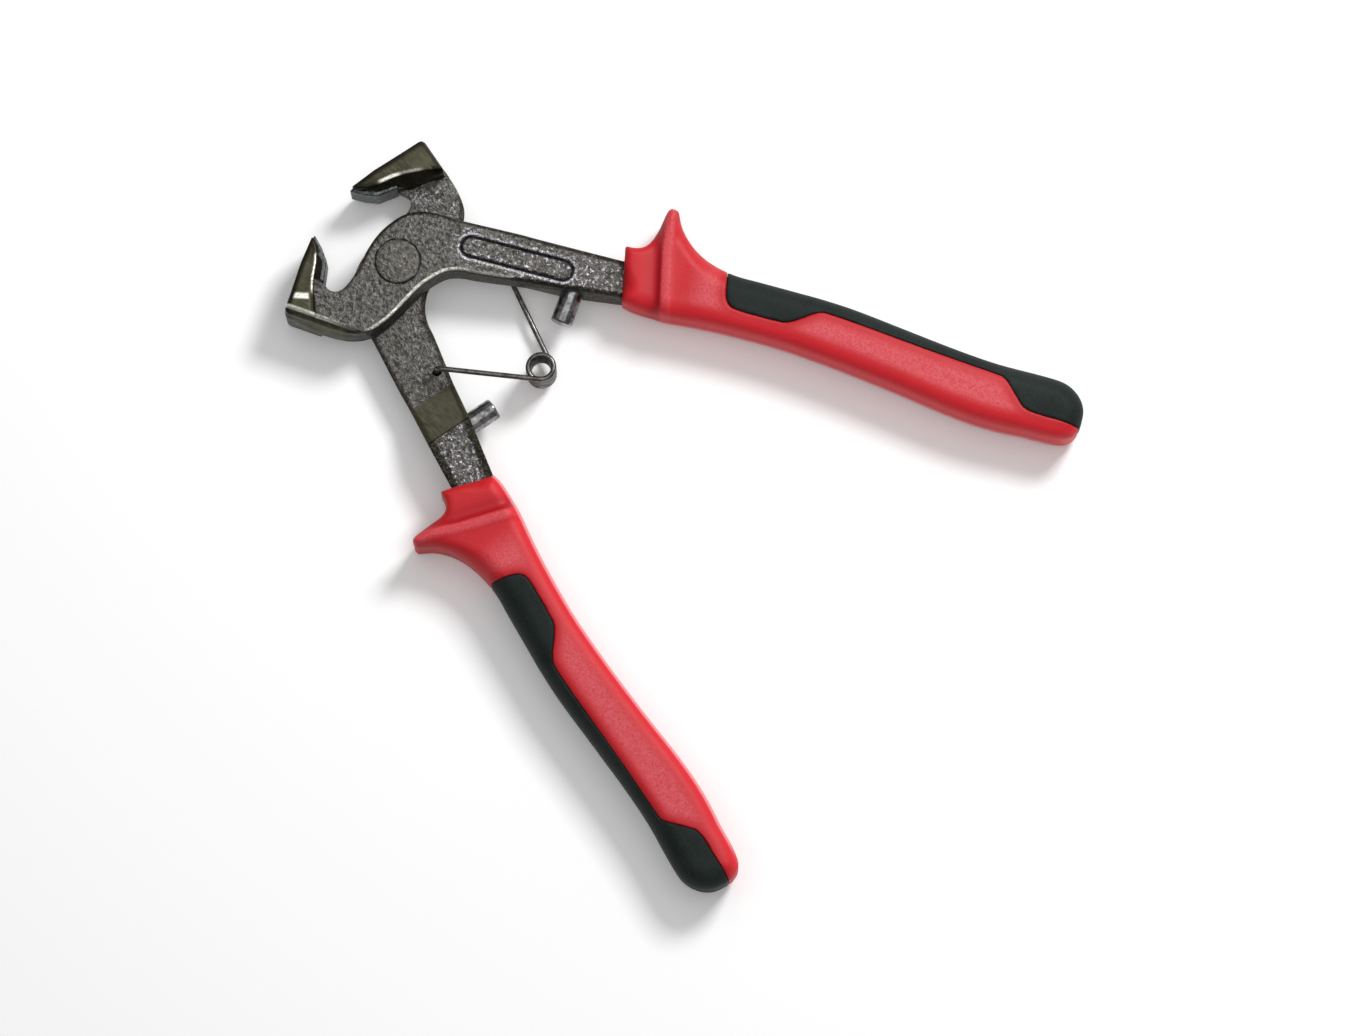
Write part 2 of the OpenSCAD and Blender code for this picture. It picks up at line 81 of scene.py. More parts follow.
def curve(points, steps):
    """Smooth curve through points, with steps between neighbours."""
    p = np.array(points, float)
    p = np.vstack([p[:1], p, p[-1:]])
    out = []
    for a, b, c, d in zip(p, p[1:], p[2:], p[3:]):
        for t in np.arange(steps) / steps:
            out.append(
                0.5 * (2 * b + (c - a) * t + (2 * a - 5 * b + 4 * c - d) * t * t
                       + (3 * b - a - 3 * c + d) * t ** 3)
            )
    return [tuple(v) for v in out] + [tuple(p[-1])]


def outline_distance(points, x, y):
    """Distance from a closed outline in plan."""
    nearest, inside = np.inf, False
    for (ax, ay), (bx, by) in zip(points, points[1:] + points[:1]):
        ex, ey = bx - ax, by - ay
        if hypot(ex, ey) < SHORTEST:
            continue
        px, py = x - ax, y - ay
        t = np.clip((px * ex + py * ey) / (ex * ex + ey * ey), 0, 1)
        nearest = np.minimum(nearest, (px - ex * t) ** 2 + (py - ey * t) ** 2)
        side = ex * py - ey * px
        up = (ay <= y) & (by > y) & (side > 0)
        down = (ay > y) & (by <= y) & (side < 0)
        inside = inside ^ (up | down)
    return np.where(inside, -1, 1) * np.sqrt(nearest)


def both(a, b, r):
    """What two shapes share, its edge rounded to the radius r."""
    return np.minimum(np.maximum(a, b), -r) + np.hypot(np.maximum(a + r, 0), np.maximum(b + r, 0))


def joined(a, b, r):
    """Two shapes run together, with a hollow fillet of about the radius r between them."""
    h = np.maximum(r - np.abs(a - b), 0) / r
    return np.minimum(a, b) - h * h * r / 4


def ramp(low, high, v):
    """0 at low and before it, 1 at high and beyond, smooth between."""
    t = np.clip((v - low) / (high - low), 0, 1)
    return t * t * (3 - 2 * t)


def skinned(name, shape, low, high, step, masks=None):
    """Mesh of a shape's surface, sampled every step between two corners. masks gives named shares
    from 0 to 1 at each vertex, which the materials read."""
    axes = [np.arange(a, b + step, step) for a, b in zip(low, high)]
    x, y, z = axes[0][:, None, None], axes[1][None, :, None], axes[2][None, None, :]
    f = shape(x, y, z).astype(np.float32)
    strides = np.array([f.shape[1] * f.shape[2], f.shape[2], 1])
    crossings = []
    for axis in range(3):
        u, v = (axis + 1) % 3, (axis + 2) % 3
        near, far = [slice(None)] * 3, [slice(None)] * 3
        near[axis], far[axis] = slice(0, -1), slice(1, None)
        a, b = f[tuple(near)], f[tuple(far)]
        at = np.argwhere((a < 0) != (b < 0))
        fa, fb = a[tuple(at.T)], b[tuple(at.T)]
        point = at.astype(float)
        point[:, axis] += fa / (fa - fb)
        cells = []
        for du, dv in ((0, 0), (-1, 0), (-1, -1), (0, -1)):
            cell = at.copy()
            cell[:, u] += du
            cell[:, v] += dv
            cells.append(cell @ strides)
        quads = np.stack(cells, 1)
        quads[fa >= 0] = quads[fa >= 0][:, ::-1]
        crossings.append((quads, point))
    used, faces = np.unique(np.concatenate([q for q, _ in crossings]), return_inverse=True)
    faces = faces.reshape(-1, 4)
    count, total = np.zeros(len(used)), np.zeros((len(used), 3))
    points = np.concatenate([p for _, p in crossings])
    for corner in faces.T:
        count += np.bincount(corner, minlength=len(used))
        for k in range(3):
            total[:, k] += np.bincount(corner, points[:, k], len(used))
    places = total / count[:, None] * step + np.array([a[0] for a in axes])
    return mesh_of(name, places, faces, masks)


def mesh_of(name, places, faces, masks=None):
    """Smooth-shaded mesh of places in millimetres and faces of one number of corners."""
    mesh = bpy.data.meshes.new(name)
    places, faces = np.asarray(places, float), np.asarray(faces)
    sides = faces.shape[1]
    mesh.vertices.add(len(places))
    mesh.vertices.foreach_set("co", (places * MM).ravel())
    mesh.loops.add(faces.size)
    mesh.loops.foreach_set("vertex_index", faces.ravel())
    mesh.polygons.add(len(faces))
    mesh.polygons.foreach_set("loop_start", np.arange(len(faces)) * sides)
    mesh.update(calc_edges=True)
    mesh.validate()
    mesh.shade_smooth()
    for key, share in (masks or {}).items():
        layer = mesh.attributes.new(key, "FLOAT", "POINT")
        layer.data.foreach_set("value", share(*places.T).astype(np.float32))
    return mesh


def ring_faces(rings, sides):
    """Faces between rings of the same number of points, each ring joined to the next."""
    return [
        (i * sides + k, i * sides + (k + 1) % sides, (i + 1) * sides + (k + 1) % sides,
         (i + 1) * sides + k)
        for i in range(rings - 1) for k in range(sides)
    ]


def lathe(name, profile, sides):
    """Solid turned about Z from a profile of (radius, height) points, bottom to top."""
    rows = [(max(r, AXIS_R), h) for r, h in profile]
    places = [
        (r * cos(2 * pi * i / sides), r * sin(2 * pi * i / sides), h)
        for r, h in rows for i in range(sides)
    ]
    return mesh_of(name, places, ring_faces(len(rows), sides))


def rounded(r, low, high, bevel, steps=4):
    """Profile of a plain cylinder with rounded ends."""
    turn = [(bevel * sin(pi / 2 * i / steps), bevel * (1 - cos(pi / 2 * i / steps)))
            for i in range(steps + 1)]
    bottom = [(0, low)] + [(r - bevel + a, low + b) for a, b in turn]
    top = [(r - bevel + a, high - b) for a, b in reversed(turn)] + [(0, high)]
    return bottom + top


# Forged half

# Thickness of the head and of the shank, the gap at the lap face, where the top begins to fall
# and where the grip begins
HEAD_T, SHANK_T, LAP = 8, 8.4, 0.05
TAPER_X, TAPER_SOFT, GRIP_FRONT = 15, 1.5, 53
TOP_SLOPE = (HEAD_T - SHANK_T / 2) / (GRIP_FRONT - TAPER_X)
# The sides lean in by this share of the height above DRAFT_Z
DRAFT, DRAFT_Z = 0.09, 4
PIN_X = 43.3
RAMP_X = PIN_X - 11.5
# Half the jaw's height, how far it falls to the cutting edge and the line from which it does
JAW_TOP, JAW_FALL, FALL_Y, FALL_LEAN = 8.2, 1.2, -16.6, 0.3
# The jaw's painted highlight and painted shade lines end at these: towards the head and at its
# outer face
JAW_X, OUTER_X = -12, -21.4
TIP_W, TIP_GAP = 10.4, 0.06
CREASE_Y, CREASE_FADE = -20.0, (7.7, 5.0)
SEAT_R, SEAT_Z = 5.72, 5.6
# The bare panel: its middle, turn, half length and the radius of its ends, and its groove
PANEL, PANEL_TURN = (27.75, 11.0), radians(6)
PANEL_RUN, PANEL_R = 11.8, 2.5
GROOVE_R, GROOVE_SINK = 0.42, 0.1
HOLE, HOLE_R, HOLE_Z = (27.5, 7.0), 0.975, 5
# Radii of the forging's edges: on top, at the lap, at the carbide and under the jaw
TOP_R, LAP_R, TIP_R, FOOT_R = 0.8, 0.45, 0.2, 0.8

ARM_LOWER = [
    (-17.6, -22.6), (-14.2, -23.0), (-10, -23.1), (-6, -22.6), (-2.6, -21.4), (0.4, -18.6),
    (3.2, -14.6), (5.4, -9.8), (7.4, -5.2), (9.4, -2), (12.4, 0.9), (15.8, 2.4), (20, 3.1),
    (27.5, 4.7), (33, 5.9), (42.3, 7.9), (61, 11.9)
]
ARM_UPPER = [
    (-19.1, -10.9), (-16.4, -10.9), (-14.8, -11.8), (-12.9, -12.3), (-11.1, -11.4), (-9.8, -8.6),
    (-9.0, -4.7), (-8.5, 0.1), (-7.4, 4.6), (-5.5, 8.5), (-2.1, 12.6), (3.6, 15), (12, 15.6),
    (25.5, 17.2), (31.1, 17.7), (42.3, 18.8), (61, 20.7)
]
JAW_BACK = (
    [(-22.4, -1.3), (-22.7, -8), (-22.5, -14)]
    + [(-21.1 + 1.3 * cos(radians(a)), -21.4 + 1.3 * sin(radians(a))) for a in range(184, 269, 12)]
)
# Plan of the finger at the sides of the jaw, and of the shoulder that holds the carbide
JAW_RIDGE = JAW_BACK + [
    (-13.2, -22.7), (-15.4, -18.8), (-17.5, -13.9), (-18.4, -11), (-19.1, -7.2), (-20.2, -3.6),
    (-21.4, -1.9)
]
JAW_SHOULDER = JAW_BACK + [
    (-12.6, -22.7), (-13.9, -18.5), (-14.7, -13.9), (-16.2, -11), (-17.4, -6), (-19.3, -4.9),
    (-20.4, -3.4), (-21.4, -1.9)
]
TIP_OUTLINE = [
    (-18.6, -10.8), (-15.9, -10.8), (-17.1, -5.4), (-19.3, -2.75), (-22.1, -0.3), (-22.35, -1.2),
    (-20.2, -3.5)
]


def arm_top(x):
    """Height of the upper face, which falls from the head to the tang."""
    fall = np.logaddexp(0, (x - TAPER_X) * TAPER_SOFT) / TAPER_SOFT
    return HEAD_T - fall * TOP_SLOPE


def arm_bottom(x):
    """Height of the lower face: the lap, then the ramp, then the full depth of the shank."""
    return LAP - (SHANK_T / 2 + LAP) * np.clip((x - RAMP_X) / (PIN_X - 1 - RAMP_X), 0, 1)


def from_arm(half, x, y):
    """Distance from the plan of the head, shank and tang."""
    lower = [
        (x, y + (half["heel"] if x < -2 else half["shank"] if x > 11 else 0)) for x, y in ARM_LOWER
    ]
    return outline_distance(curve(lower, 4) + curve(ARM_UPPER, 4)[::-1], x, y)


def from_jaw(plan, half, x, y):
    """Distance from JAW_RIDGE or JAW_SHOULDER, its heel moved as in this half."""
    return outline_distance([(x, y + half["heel"] * (y < -19)) for x, y in plan], x, y)


def from_hole(x, y):
    return np.hypot(x - HOLE[0], y - HOLE[1])


def panel_place(x, y):
    """Place along and across the panel, from its middle."""
    px, py = x - PANEL[0], y - PANEL[1]
    c, s = cos(PANEL_TURN), sin(PANEL_TURN)
    return c * px + s * py, c * py - s * px


def outside_panel(x, y):
    """Distance out from the middle of the groove round the panel, less than 0 inside it."""
    along, across = panel_place(x, y)
    return np.hypot(np.maximum(np.abs(along) - PANEL_RUN, 0), across) - PANEL_R


def creased(shape, y, z, sharp, grown):
    """A shape with the slope ground on its heel. The slope's edge is sharp at the crease and
    rounder further down."""
    slope = (z - y - JAW_TOP + CREASE_Y) / sqrt(2)
    return both(shape, slope, sharp + grown * ramp(*CREASE_FADE, z))


def jaw_block(half, x, y, z):
    """Jaw without the head: a finger, ground down towards its edge, and its sloping shoulder."""
    ridge = from_jaw(JAW_RIDGE, half, x, y)
    along = y - FALL_LEAN * (x + 22)
    side = np.abs(z) - JAW_TOP + JAW_FALL * np.maximum(0, 1 - along / FALL_Y)
    finger = both(ridge, side, 0.6 + 0.9 * ramp(-14, -17, y))
    finger = both(finger, -z - JAW_TOP + 0.3, FOOT_R)
    steep = 1.5 + 1.2 * ramp(-11, -14, y)
    slope = (side + steep * np.maximum(ridge, 0)) / np.sqrt(1 + steep ** 2)
    shoulder = both(from_jaw(JAW_SHOULDER, half, x, y), slope, 0.3)
    return creased(joined(finger, shoulder, 0.4), y, z, 0.25, 2)


def carbide(x, y, z):
    """The tip brazed to the jaw."""
    return both(outline_distance(TIP_OUTLINE, x, y), np.abs(z) - TIP_W / 2, TIP_R)


def forged_half(half, x, y, z):
    """Head, shank, tang and jaw in one, with its seats, its leg hole and the panel's groove."""
    top = arm_top(x)
    body = both(from_arm(half, x, y) + DRAFT * (z - DRAFT_Z), z - top, TOP_R)
    body = creased(both(body, arm_bottom(x) - z, LAP_R), y, z, 0.4, 1.85)
    shape = joined(body, jaw_block(half, x, y, z), 0.05 + 1.5 * ramp(5, 3, z))
    tip_seat = TIP_GAP - carbide(x, y, z)
    rivet_seat = -both(np.hypot(x, y) - SEAT_R, SEAT_Z - z, 0.1)
    leg_hole = HOLE_R - from_hole(x, y) - 10 * (z > HOLE_Z)
    groove = GROOVE_R - np.hypot(outside_panel(x, y), z - top + GROOVE_SINK)
    for cut in (tip_seat, rivet_seat, leg_hole, groove):
        shape = np.maximum(shape, cut)
    return shape


# Masks of the forging, from 0 to 1. The outer side is up: z is the height above the lap face

def stripe(distance, middle, half_width):
    """1 in the middle of a line, falling to 0 at both its sides."""
    return 1 - ramp(0.4, 1, np.abs(distance - middle) / half_width)


def ground_share(half, x, y, z):
    """Where the forging is ground smooth: the finger, its shoulder and outer face, and the heel."""
    ridge = from_jaw(JAW_RIDGE, half, x, y)
    foot = from_jaw(JAW_SHOULDER, half, x, y)
    jaw = 1 - ramp(-0.1, 0.3, np.where(z < 0.3, foot - 0.2, np.where(y > -11.2, ridge - 3, ridge)))
    heel = ramp(-0.6, 0.3, CREASE_Y - 0.2 - y) * ramp(5, 2, x)
    heel = heel * np.maximum(ramp(0.5, 1.5, z), ramp(JAW_X, JAW_X - 1, x))
    return np.maximum.reduce([jaw, heel, ramp(OUTER_X + 0.5, OUTER_X, x)])


def patch_share(half, x, y, z):
    """The ramp behind the leg hole, ground flat."""
    return ramp(-0.2, 0.2, x - RAMP_X - 0.3) * ramp(-0.2, 0.2, PIN_X - 1 - x) * (z < 2)


def painted_edge_shade_share(half, x, y, z):
    """Painted shade on the rounded edges of the forging, widest on the block behind the stop pin,
    and on the edges of the jaw, darkened where their highlights would show."""
    plan = from_arm(half, x, y)
    band = np.where(z > 2, ramp(-1.45, -0.85, plan), 0.8 * ramp(-1.1, -0.5, plan))
    block = ramp(-1.7, -1.0, plan) * ramp(PIN_X - 3, PIN_X, x) * (z < 2)
    arm = np.maximum(band, block) * ramp(-0.5, 1.5, x + 0.12 * y + 9.5)
    ridge = from_jaw(JAW_RIDGE, half, x, y)
    outer = ramp(-1.7, -0.7, ridge) * ramp(-19.5, -21, x) * (y < -1)
    ends = np.where(z > 0, ramp(-5.5, -4, y) + ramp(-14.5, -16, y), ramp(-7.5, -6, y))
    inner = stripe(ridge, -0.1, 0.9) * ends * (x < JAW_X) * (y > CREASE_Y)
    heel = ramp(-1.3, -0.5, ridge) * (y < -20.5) * ramp(-1, -5.5, z)
    return np.maximum.reduce([arm, outer, inner, heel])


def painted_groove_shade_share(half, x, y, z):
    """Painted shade in the groove round the panel and in the hole of the spring's leg."""
    groove = 1 - ramp(0.15, 0.5, np.abs(outside_panel(x, y)) + 20 * (z < 2))
    hole = 1 - ramp(0.85, 1.05, from_hole(x, y) + 20 * (z > 4))
    return np.maximum(groove, hole)


def painted_highlight_share(half, x, y, z):
    """Painted highlights on edges: the ridge and the crease of the jaw, the band across its
    face and the head's lower edge."""
    ridge = from_jaw(JAW_RIDGE, half, x, y)
    on_face = (np.abs(z) > JAW_TOP - JAW_FALL - 1.2) * (x < JAW_X) * (x > OUTER_X)
    edge = 0.55 * stripe(ridge, -0.25, 0.35) * ramp(-15, -13, y) * ramp(-4.5, -6, y) * (z > 0)
    glint = stripe(ridge, -0.45, 0.6) * ramp(-13.8, -12, y) * ramp(-7, -8.5, y) * (z < 0)
    line = 0.25 * stripe(ridge, -0.4, 0.6) * ramp(-19, -17, y) * (y < -12) * (z < 0)
    face = np.maximum.reduce([edge, glint, line]) * on_face
    band = stripe(y - FALL_LEAN * (x + 20), -16.5, 1.05) * ramp(-0.9, -1.4, ridge) * (z > 7)
    crease = 0.9 * stripe(y, CREASE_Y + 0.1, 0.65) * ramp(-2, -17, x) * (z > 7.4)
    lower = stripe(from_arm(half, x, y), -0.85, 0.5) * (z > 6.6) * (x > -4) * (y < 0.42 * x + 0.5)
    lower = 0.9 * (lower * ramp(-3, 1, x) * (1 - 0.6 * ramp(11, 20, x)) * (x < 45))
    return np.maximum.reduce([face, band, crease, lower])


def painted_sparkle_share(half, x, y, z):
    """Where the scale is coarse and gets many painted sparkle highlights: round the panel, the web
    under the jaw and the block before the grip."""
    panel = np.abs(outside_panel(x, y))
    outer = (z > 3) * ramp(3.5, 0.6, panel) * np.where(x > 30, 1, 0.75)
    beyond = (z > 3) * ramp(41, 44, x) * (1 - 0.4 * ramp(46, 49, x))
    inner = (z < 2) * np.maximum(ramp(-9, -12, y) * 0.3, 0.75 * ramp(PIN_X - 1.2, PIN_X - 0.6, x))
    return np.maximum.reduce([outer, beyond, inner])


def painted_lip_highlight_share(half, x, y, z):
    """Painted highlight on the raised lip outside the panel's groove, brightest round its end by
    the rivet.
    """
    along, across = panel_place(x, y)
    out = outside_panel(x, y)
    lip = stripe(np.abs(out), 0.75, 0.42) * (z > 2) * (out > 0)
    return lip * np.where(across < 0, 0.75, 0.35 + 0.65 * ramp(-8, -12, along))


tip_mesh = skinned("carbide", carbide, (-23.5, -12, -6), (-15.5, 0.6, 6), TIP_STEP)


# Grip

GRIP_OUTER = curve([
    (53, 23.6), (55.6, 24), (57.4, 25), (58.5, 26.8), (59.1, 30.2), (59.4, 33.4),
    (59.7, 35.5), (60.3, 36.35), (61.3, 36.55), (62.2, 36.35), (62.8, 35.4), (64, 33.4),
    (65.7, 31.5), (67.7, 29.9), (70, 28.6), (73.2, 27.4), (77.3, 26.5), (82, 26.2), (88, 26.7),
    (97.1, 27.4),
    (104, 27.9), (113.1, 28.1), (128.9, 27.5), (140.9, 27.1), (151, 27.2), (161, 28.1),
    (167.6, 28.3), (171.8, 26.5), (174.3, 23.4), (175, 19.6)
], 4)
GRIP_INNER = curve([
    (56.8, 10.1), (59.4, 9.65), (63.4, 9.65), (67.7, 10), (71.3, 10.5), (77.3, 11.5),
    (85.3, 12.5), (97.1, 13.4), (106, 13.5), (116, 13.3), (128.9, 12.7), (140.9, 11.9),
    (149, 11.7), (156, 12.1), (162, 12.9), (167.4, 13.4), (171.8, 14.3), (174, 15.8), (175, 18.2)
], 4)
GRIP_OUTLINE = GRIP_OUTER + GRIP_INNER[::-1]
INSERT_EDGE = curve([
    (78.3, 30), (79.5, 25.7), (80.7, 21.2), (81.9, 18.8), (84, 17.8), (90, 18), (95.4, 18.5),
    (97.3, 18.9), (99.3, 20.1), (103.3, 23.4), (105, 24.3), (107, 24.6), (118.1, 24.6),
    (135.2, 24.3), (151, 24.3), (153.4, 23.9), (155, 22.8), (159.2, 19.2), (160.8, 18.4),
    (163.2, 18.2), (168, 18.4), (180, 19)
], 4)
# Half the thickness of the grip along it, at slanting lines across: collar, hollow, rib, hand
GRIP_HALF = np.array(curve([
    (51, 7.6), (56, 7.5), (58.5, 7.25), (60.4, 6.9), (61.3, 7.0), (62, 7.5), (62.7, 8.3),
    (63.2, 8.5), (64.7, 8.5), (65.2, 8.3), (66, 8.05), (68.5, 7.95), (72, 8.15), (77, 8.3),
    (97, 8.25), (129, 8.4), (151, 8.5), (179, 8.5)
], 4)).T
RIB_LEAN, RIB_Y = 0.31, 23.7
GRIP_LEN = 122
# Rounding of the grip's edges, at its collar and, added to it, at the rib and the hand, and on
# its inner side
COLLAR_R, RIB_R, HAND_R, INNER_R = 2.0, 1.6, 1.4, 4.2
# How fast the back thins outward, and the radius and gap where insert and red part meet
BACK_THIN, SEAM_R, SEAM_GAP = 0.012, 0.2, 0.06


def grip_place(half, x, y):
    """A point in the grip's own drawing, before this half's collar, end and side are moved."""
    along = (x - GRIP_FRONT) / GRIP_LEN
    moved = half["collar"] * (1 - along) + half["end"] * along
    moved = moved + half["guard"] * ramp(24, 31, y) * ramp(78, 70, x)
    return x - moved, y - half["outward"]


def across_rib(x, y):
    """Place along the grip, measured square to its leaning rib."""
    return x + RIB_LEAN * (y - RIB_Y)


def grip(half, x, y, z):
    """The whole grip, insert included."""
    x, y = grip_place(half, x, y)
    plan = outline_distance(GRIP_OUTLINE, x, y)
    thick = np.interp(across_rib(x, y), *GRIP_HALF)
    thick = thick - BACK_THIN * np.maximum(y - 20, 0) ** 2 * ramp(66, 74, x)
    outer = COLLAR_R + RIB_R * ramp(57, 65, x) + HAND_R * ramp(66, 74, x)
    return both(plan, np.abs(z) - thick, outer + (INNER_R - outer) * ramp(20, 14, y))


def insert_edge(half, x, y):
    """Distance in plan from the dark insert."""
    x, y = grip_place(half, x, y - half["insert"])
    return outline_distance(INSERT_EDGE + [(180, 60), (78.3, 60)], x, y)


def red_grip(half, x, y, z):
    return both(grip(half, x, y, z), SEAM_GAP - insert_edge(half, x, y), SEAM_R)


def dark_insert(half, x, y, z):
    return both(grip(half, x, y, z), insert_edge(half, x, y), SEAM_R)


# Masks of the grip, from 0 to 1

def from_inner_edge(half, x, y):
    """How far outward a point is from the grip's inner edge."""
    px, py = grip_place(half, x, y)
    return py - np.interp(px, *np.array(GRIP_INNER).T)


def painted_sheen_share(half, x, y, z):
    """Painted sheen on the middle of the grip's faces, where the grain is paler, and painted
    highlight on the crest of the rib.
    """
    px, py = grip_place(half, x, y)
    middle = ramp(2.6, 5.4, from_inner_edge(half, x, y)) * ramp(27, 21, y)
    middle = middle * ramp(0.4, 3.8, insert_edge(half, x, y))
    middle = middle * ramp(69, 77, px) * (1 - 0.5 * ramp(160, 172, px))
    place = across_rib(px, py)
    return np.maximum(middle, 0.7 * ramp(62.1, 62.9, place) * ramp(65.9, 64.9, place))


def painted_hollow_shade_share(half, x, y, z):
    """Painted shade in the hollow before the rib and in the band along the insert, where the red is
    deepest.
    """
    place = across_rib(*grip_place(half, x, y))
    hollow_shade_paint = ramp(57, 61.5, place) * ramp(62.9, 62.3, place)
    return np.maximum(hollow_shade_paint, 0.5 * ramp(2.2, 0.4, insert_edge(half, x, y)))


def bevel_share(half, x, y, z):
    """The narrow pale edge along the grip's inner side."""
    pale = stripe(from_inner_edge(half, x, y), 0.3, 0.7) * ramp(-1.5, -3.5, z)
    return pale * ramp(54, 57, x) * ramp(172, 166, x)


def painted_side_light_share(half, x, y, z):
    """Painted light on the grip's rounded inner side, which is painted a brighter red."""
    return ramp(4.5, 1, from_inner_edge(half, x, y))


# Rivet and stop pins

rivet_mesh = lathe("rivet", [
    (0, -8.5), (4.6, -8.46), (5.2, -8.36), (5.5, -8.2), (5.62, -7.9), (5.62, 7.9), (5.5, 8.2),
    (5.2, 8.36), (4.6, 8.46), (0, 8.5)
], 96)
# The pin stands in the shank's inner edge, its free end just short of the middle plane
PIN_R, PIN_GAP, PIN_SEAT, PIN_BEVEL = 2.8, 0.15, 4.9, 0.6
SHANK_EDGE = 3.1 + (PIN_X - 20) * 0.216
pin_mesh = lathe("stop_pin", rounded(PIN_R, PIN_GAP, SHANK_EDGE + PIN_SEAT, PIN_BEVEL), 72)
pin_place = Matrix.Translation((PIN_X * MM, 0, 0)) @ Matrix.Rotation(-pi / 2, 4, "X")


# Return spring: a closely wound coil about Z, and a leg from each end of it to its hole

WIRE_SIDES, TURN_STEPS = 14, 40
WIRE_R, COIL_R, TURNS, TURN_GAP = 0.675, 3.2, 7, 0.05
REAR_REACH, FRONT_REACH, LEG_BEND, LEG_FOOT = 26.2, 24.8, 1.6, 4
swing = atan2(HOLE[1], HOLE[0]) + radians(HALF_OPEN)
hole_at = np.array([hypot(*HOLE) * cos(swing), -hypot(*HOLE) * sin(swing)])
coil_y = (REAR_REACH ** 2 - FRONT_REACH ** 2) / (-4 * hole_at[1])
rear_angle = asin((coil_y - hole_at[1]) / REAR_REACH)
front_angle = asin((-coil_y - hole_at[1]) / FRONT_REACH)
coil_x = hole_at[0] + REAR_REACH * cos(rear_angle)
rear_heading = rear_angle - asin(COIL_R / REAR_REACH)
front_heading = front_angle - asin(COIL_R / FRONT_REACH)
wrap = 2 * pi * TURNS + pi - rear_heading - front_heading
coil_h = (2 * WIRE_R + TURN_GAP) * wrap / (2 * pi)


def leg(heading, reach, side):
    """Path of a leg from its hole to the coil. side is 1 for the rear leg and -1 for the front."""
    ahead = np.array([cos(heading), sin(heading)])
    run = sqrt(reach ** 2 - COIL_R ** 2)
    path = [(*hole_at, -LEG_FOOT)]
    for i in range(7):
        a = radians(15 * i)
        path.append((*(hole_at + LEG_BEND * (1 - cos(a)) * ahead),
                     coil_h / 2 - LEG_BEND + LEG_BEND * sin(a)))
    for t in np.linspace(0.12, 1, 10):
        path.append((*(hole_at + run * t * ahead), coil_h / 2))
    return [(x, side * y, side * z) for x, y, z in path]


def wire(name, path):
    """Round wire along a path."""
    p = np.array(path)
    ahead = np.gradient(p, axis=0)
    ahead /= np.linalg.norm(ahead, axis=1)[:, None]
    across = np.cross(ahead, (0, 0, 1))
    for i in range(len(p)):
        if np.linalg.norm(across[i]) < 0.05:
            across[i] = (p[0, 1] - p[-1, 1], p[-1, 0] - p[0, 0], 0)
    for i in range(1, len(p)):
        if np.dot(across[i], across[i - 1]) < 0:
            across[i] = -across[i]
    across /= np.linalg.norm(across, axis=1)[:, None]
    up = np.cross(across, ahead)
    turn = [2 * pi * k / WIRE_SIDES for k in range(WIRE_SIDES)]
    places = [
        tuple(p[i] + WIRE_R * (cos(a) * across[i] + sin(a) * up[i]))
        for i in range(len(p)) for a in turn
    ]
    return mesh_of(name, places, ring_faces(len(p), WIRE_SIDES))


def turns():
    """Path of the coil, from the rear leg down to the front one."""
    steps = ceil(wrap / (2 * pi) * TURN_STEPS)
    path = []
    for i in range(steps + 1):
        a = rear_heading - pi / 2 + wrap * i / steps
        path.append((coil_x + COIL_R * cos(a), coil_y + COIL_R * sin(a),
                     coil_h * (0.5 - i / steps)))
    return path


rear_leg_mesh = wire("spring_rear_leg", leg(rear_heading, REAR_REACH, 1))
front_leg_mesh = wire("spring_front_leg", leg(front_heading, FRONT_REACH, -1))
coil_mesh = wire("spring_coil", turns())


# Materials

class Sheet:
    """A node tree and short ways to add to it."""

    def __init__(self, tree):
        self.nodes, self.links = tree.nodes, tree.links

    @cached_property
    def mm(self):
        """The place on the piece, in its own millimetres."""
        place = self.nodes.new("ShaderNodeTexCoord").outputs["Object"]
        return self.add("ShaderNodeVectorMath", operation="SCALE", Vector=place, Scale=1 / MM)

    def put(self, socket, value):
        """Link another socket's value to this one, or set it. A colour is given as a triple."""
        if isinstance(value, bpy.types.NodeSocket):
            self.links.new(value, socket)
        else:
            socket.default_value = (*value, 1) if socket.type == "RGBA" else value

    def add(self, kind, operation=None, **inputs):
        """A new node's first output. Inputs go by name, or by place as _0, _1 and so on."""
        node = self.nodes.new(kind)
        if operation:
            node.operation = operation
        for key, value in inputs.items():
            socket = node.inputs[int(key[1:]) if key[0] == "_" else key.replace("_", " ")]
            self.put(socket, value)
        return node.outputs[0]

    def noise(self, scale, detail, roughness, vector=None):
        return self.add("ShaderNodeTexNoise", Vector=vector or self.mm, Scale=scale,
                        Detail=detail, Roughness=roughness)

    def stretched(self, scale):
        """The piece's millimetres, scaled apart along x, y and z."""
        return self.add("ShaderNodeVectorMath", operation="MULTIPLY", _0=self.mm, _1=scale)

    def share(self, value, low, high):
        """0 where a value is low or less, 1 where it is high or more."""
        return self.add("ShaderNodeMapRange", Value=value, From_Min=low, From_Max=high)

    def mask(self, name):
        """A share that the mesh holds at its vertices."""
        node = self.nodes.new("ShaderNodeAttribute")
        node.attribute_name = name
        return node.outputs["Fac"]

    def times(self, a, b):
        return self.add("ShaderNodeMath", operation="MULTIPLY", _0=a, _1=b)

    def mix(self, share, a, b):
        """Colour from a to b by a share."""
        node = self.nodes.new("ShaderNodeMix")
        node.data_type = "RGBA"
        for key, value in ((0, share), (6, a), (7, b)):
            self.put(node.inputs[key], value)
        return node.outputs[2]

    def blend(self, share, a, b):
        """Value from a to b by a share."""
        return self.add("ShaderNodeMix", _0=share, _2=a, _3=b)


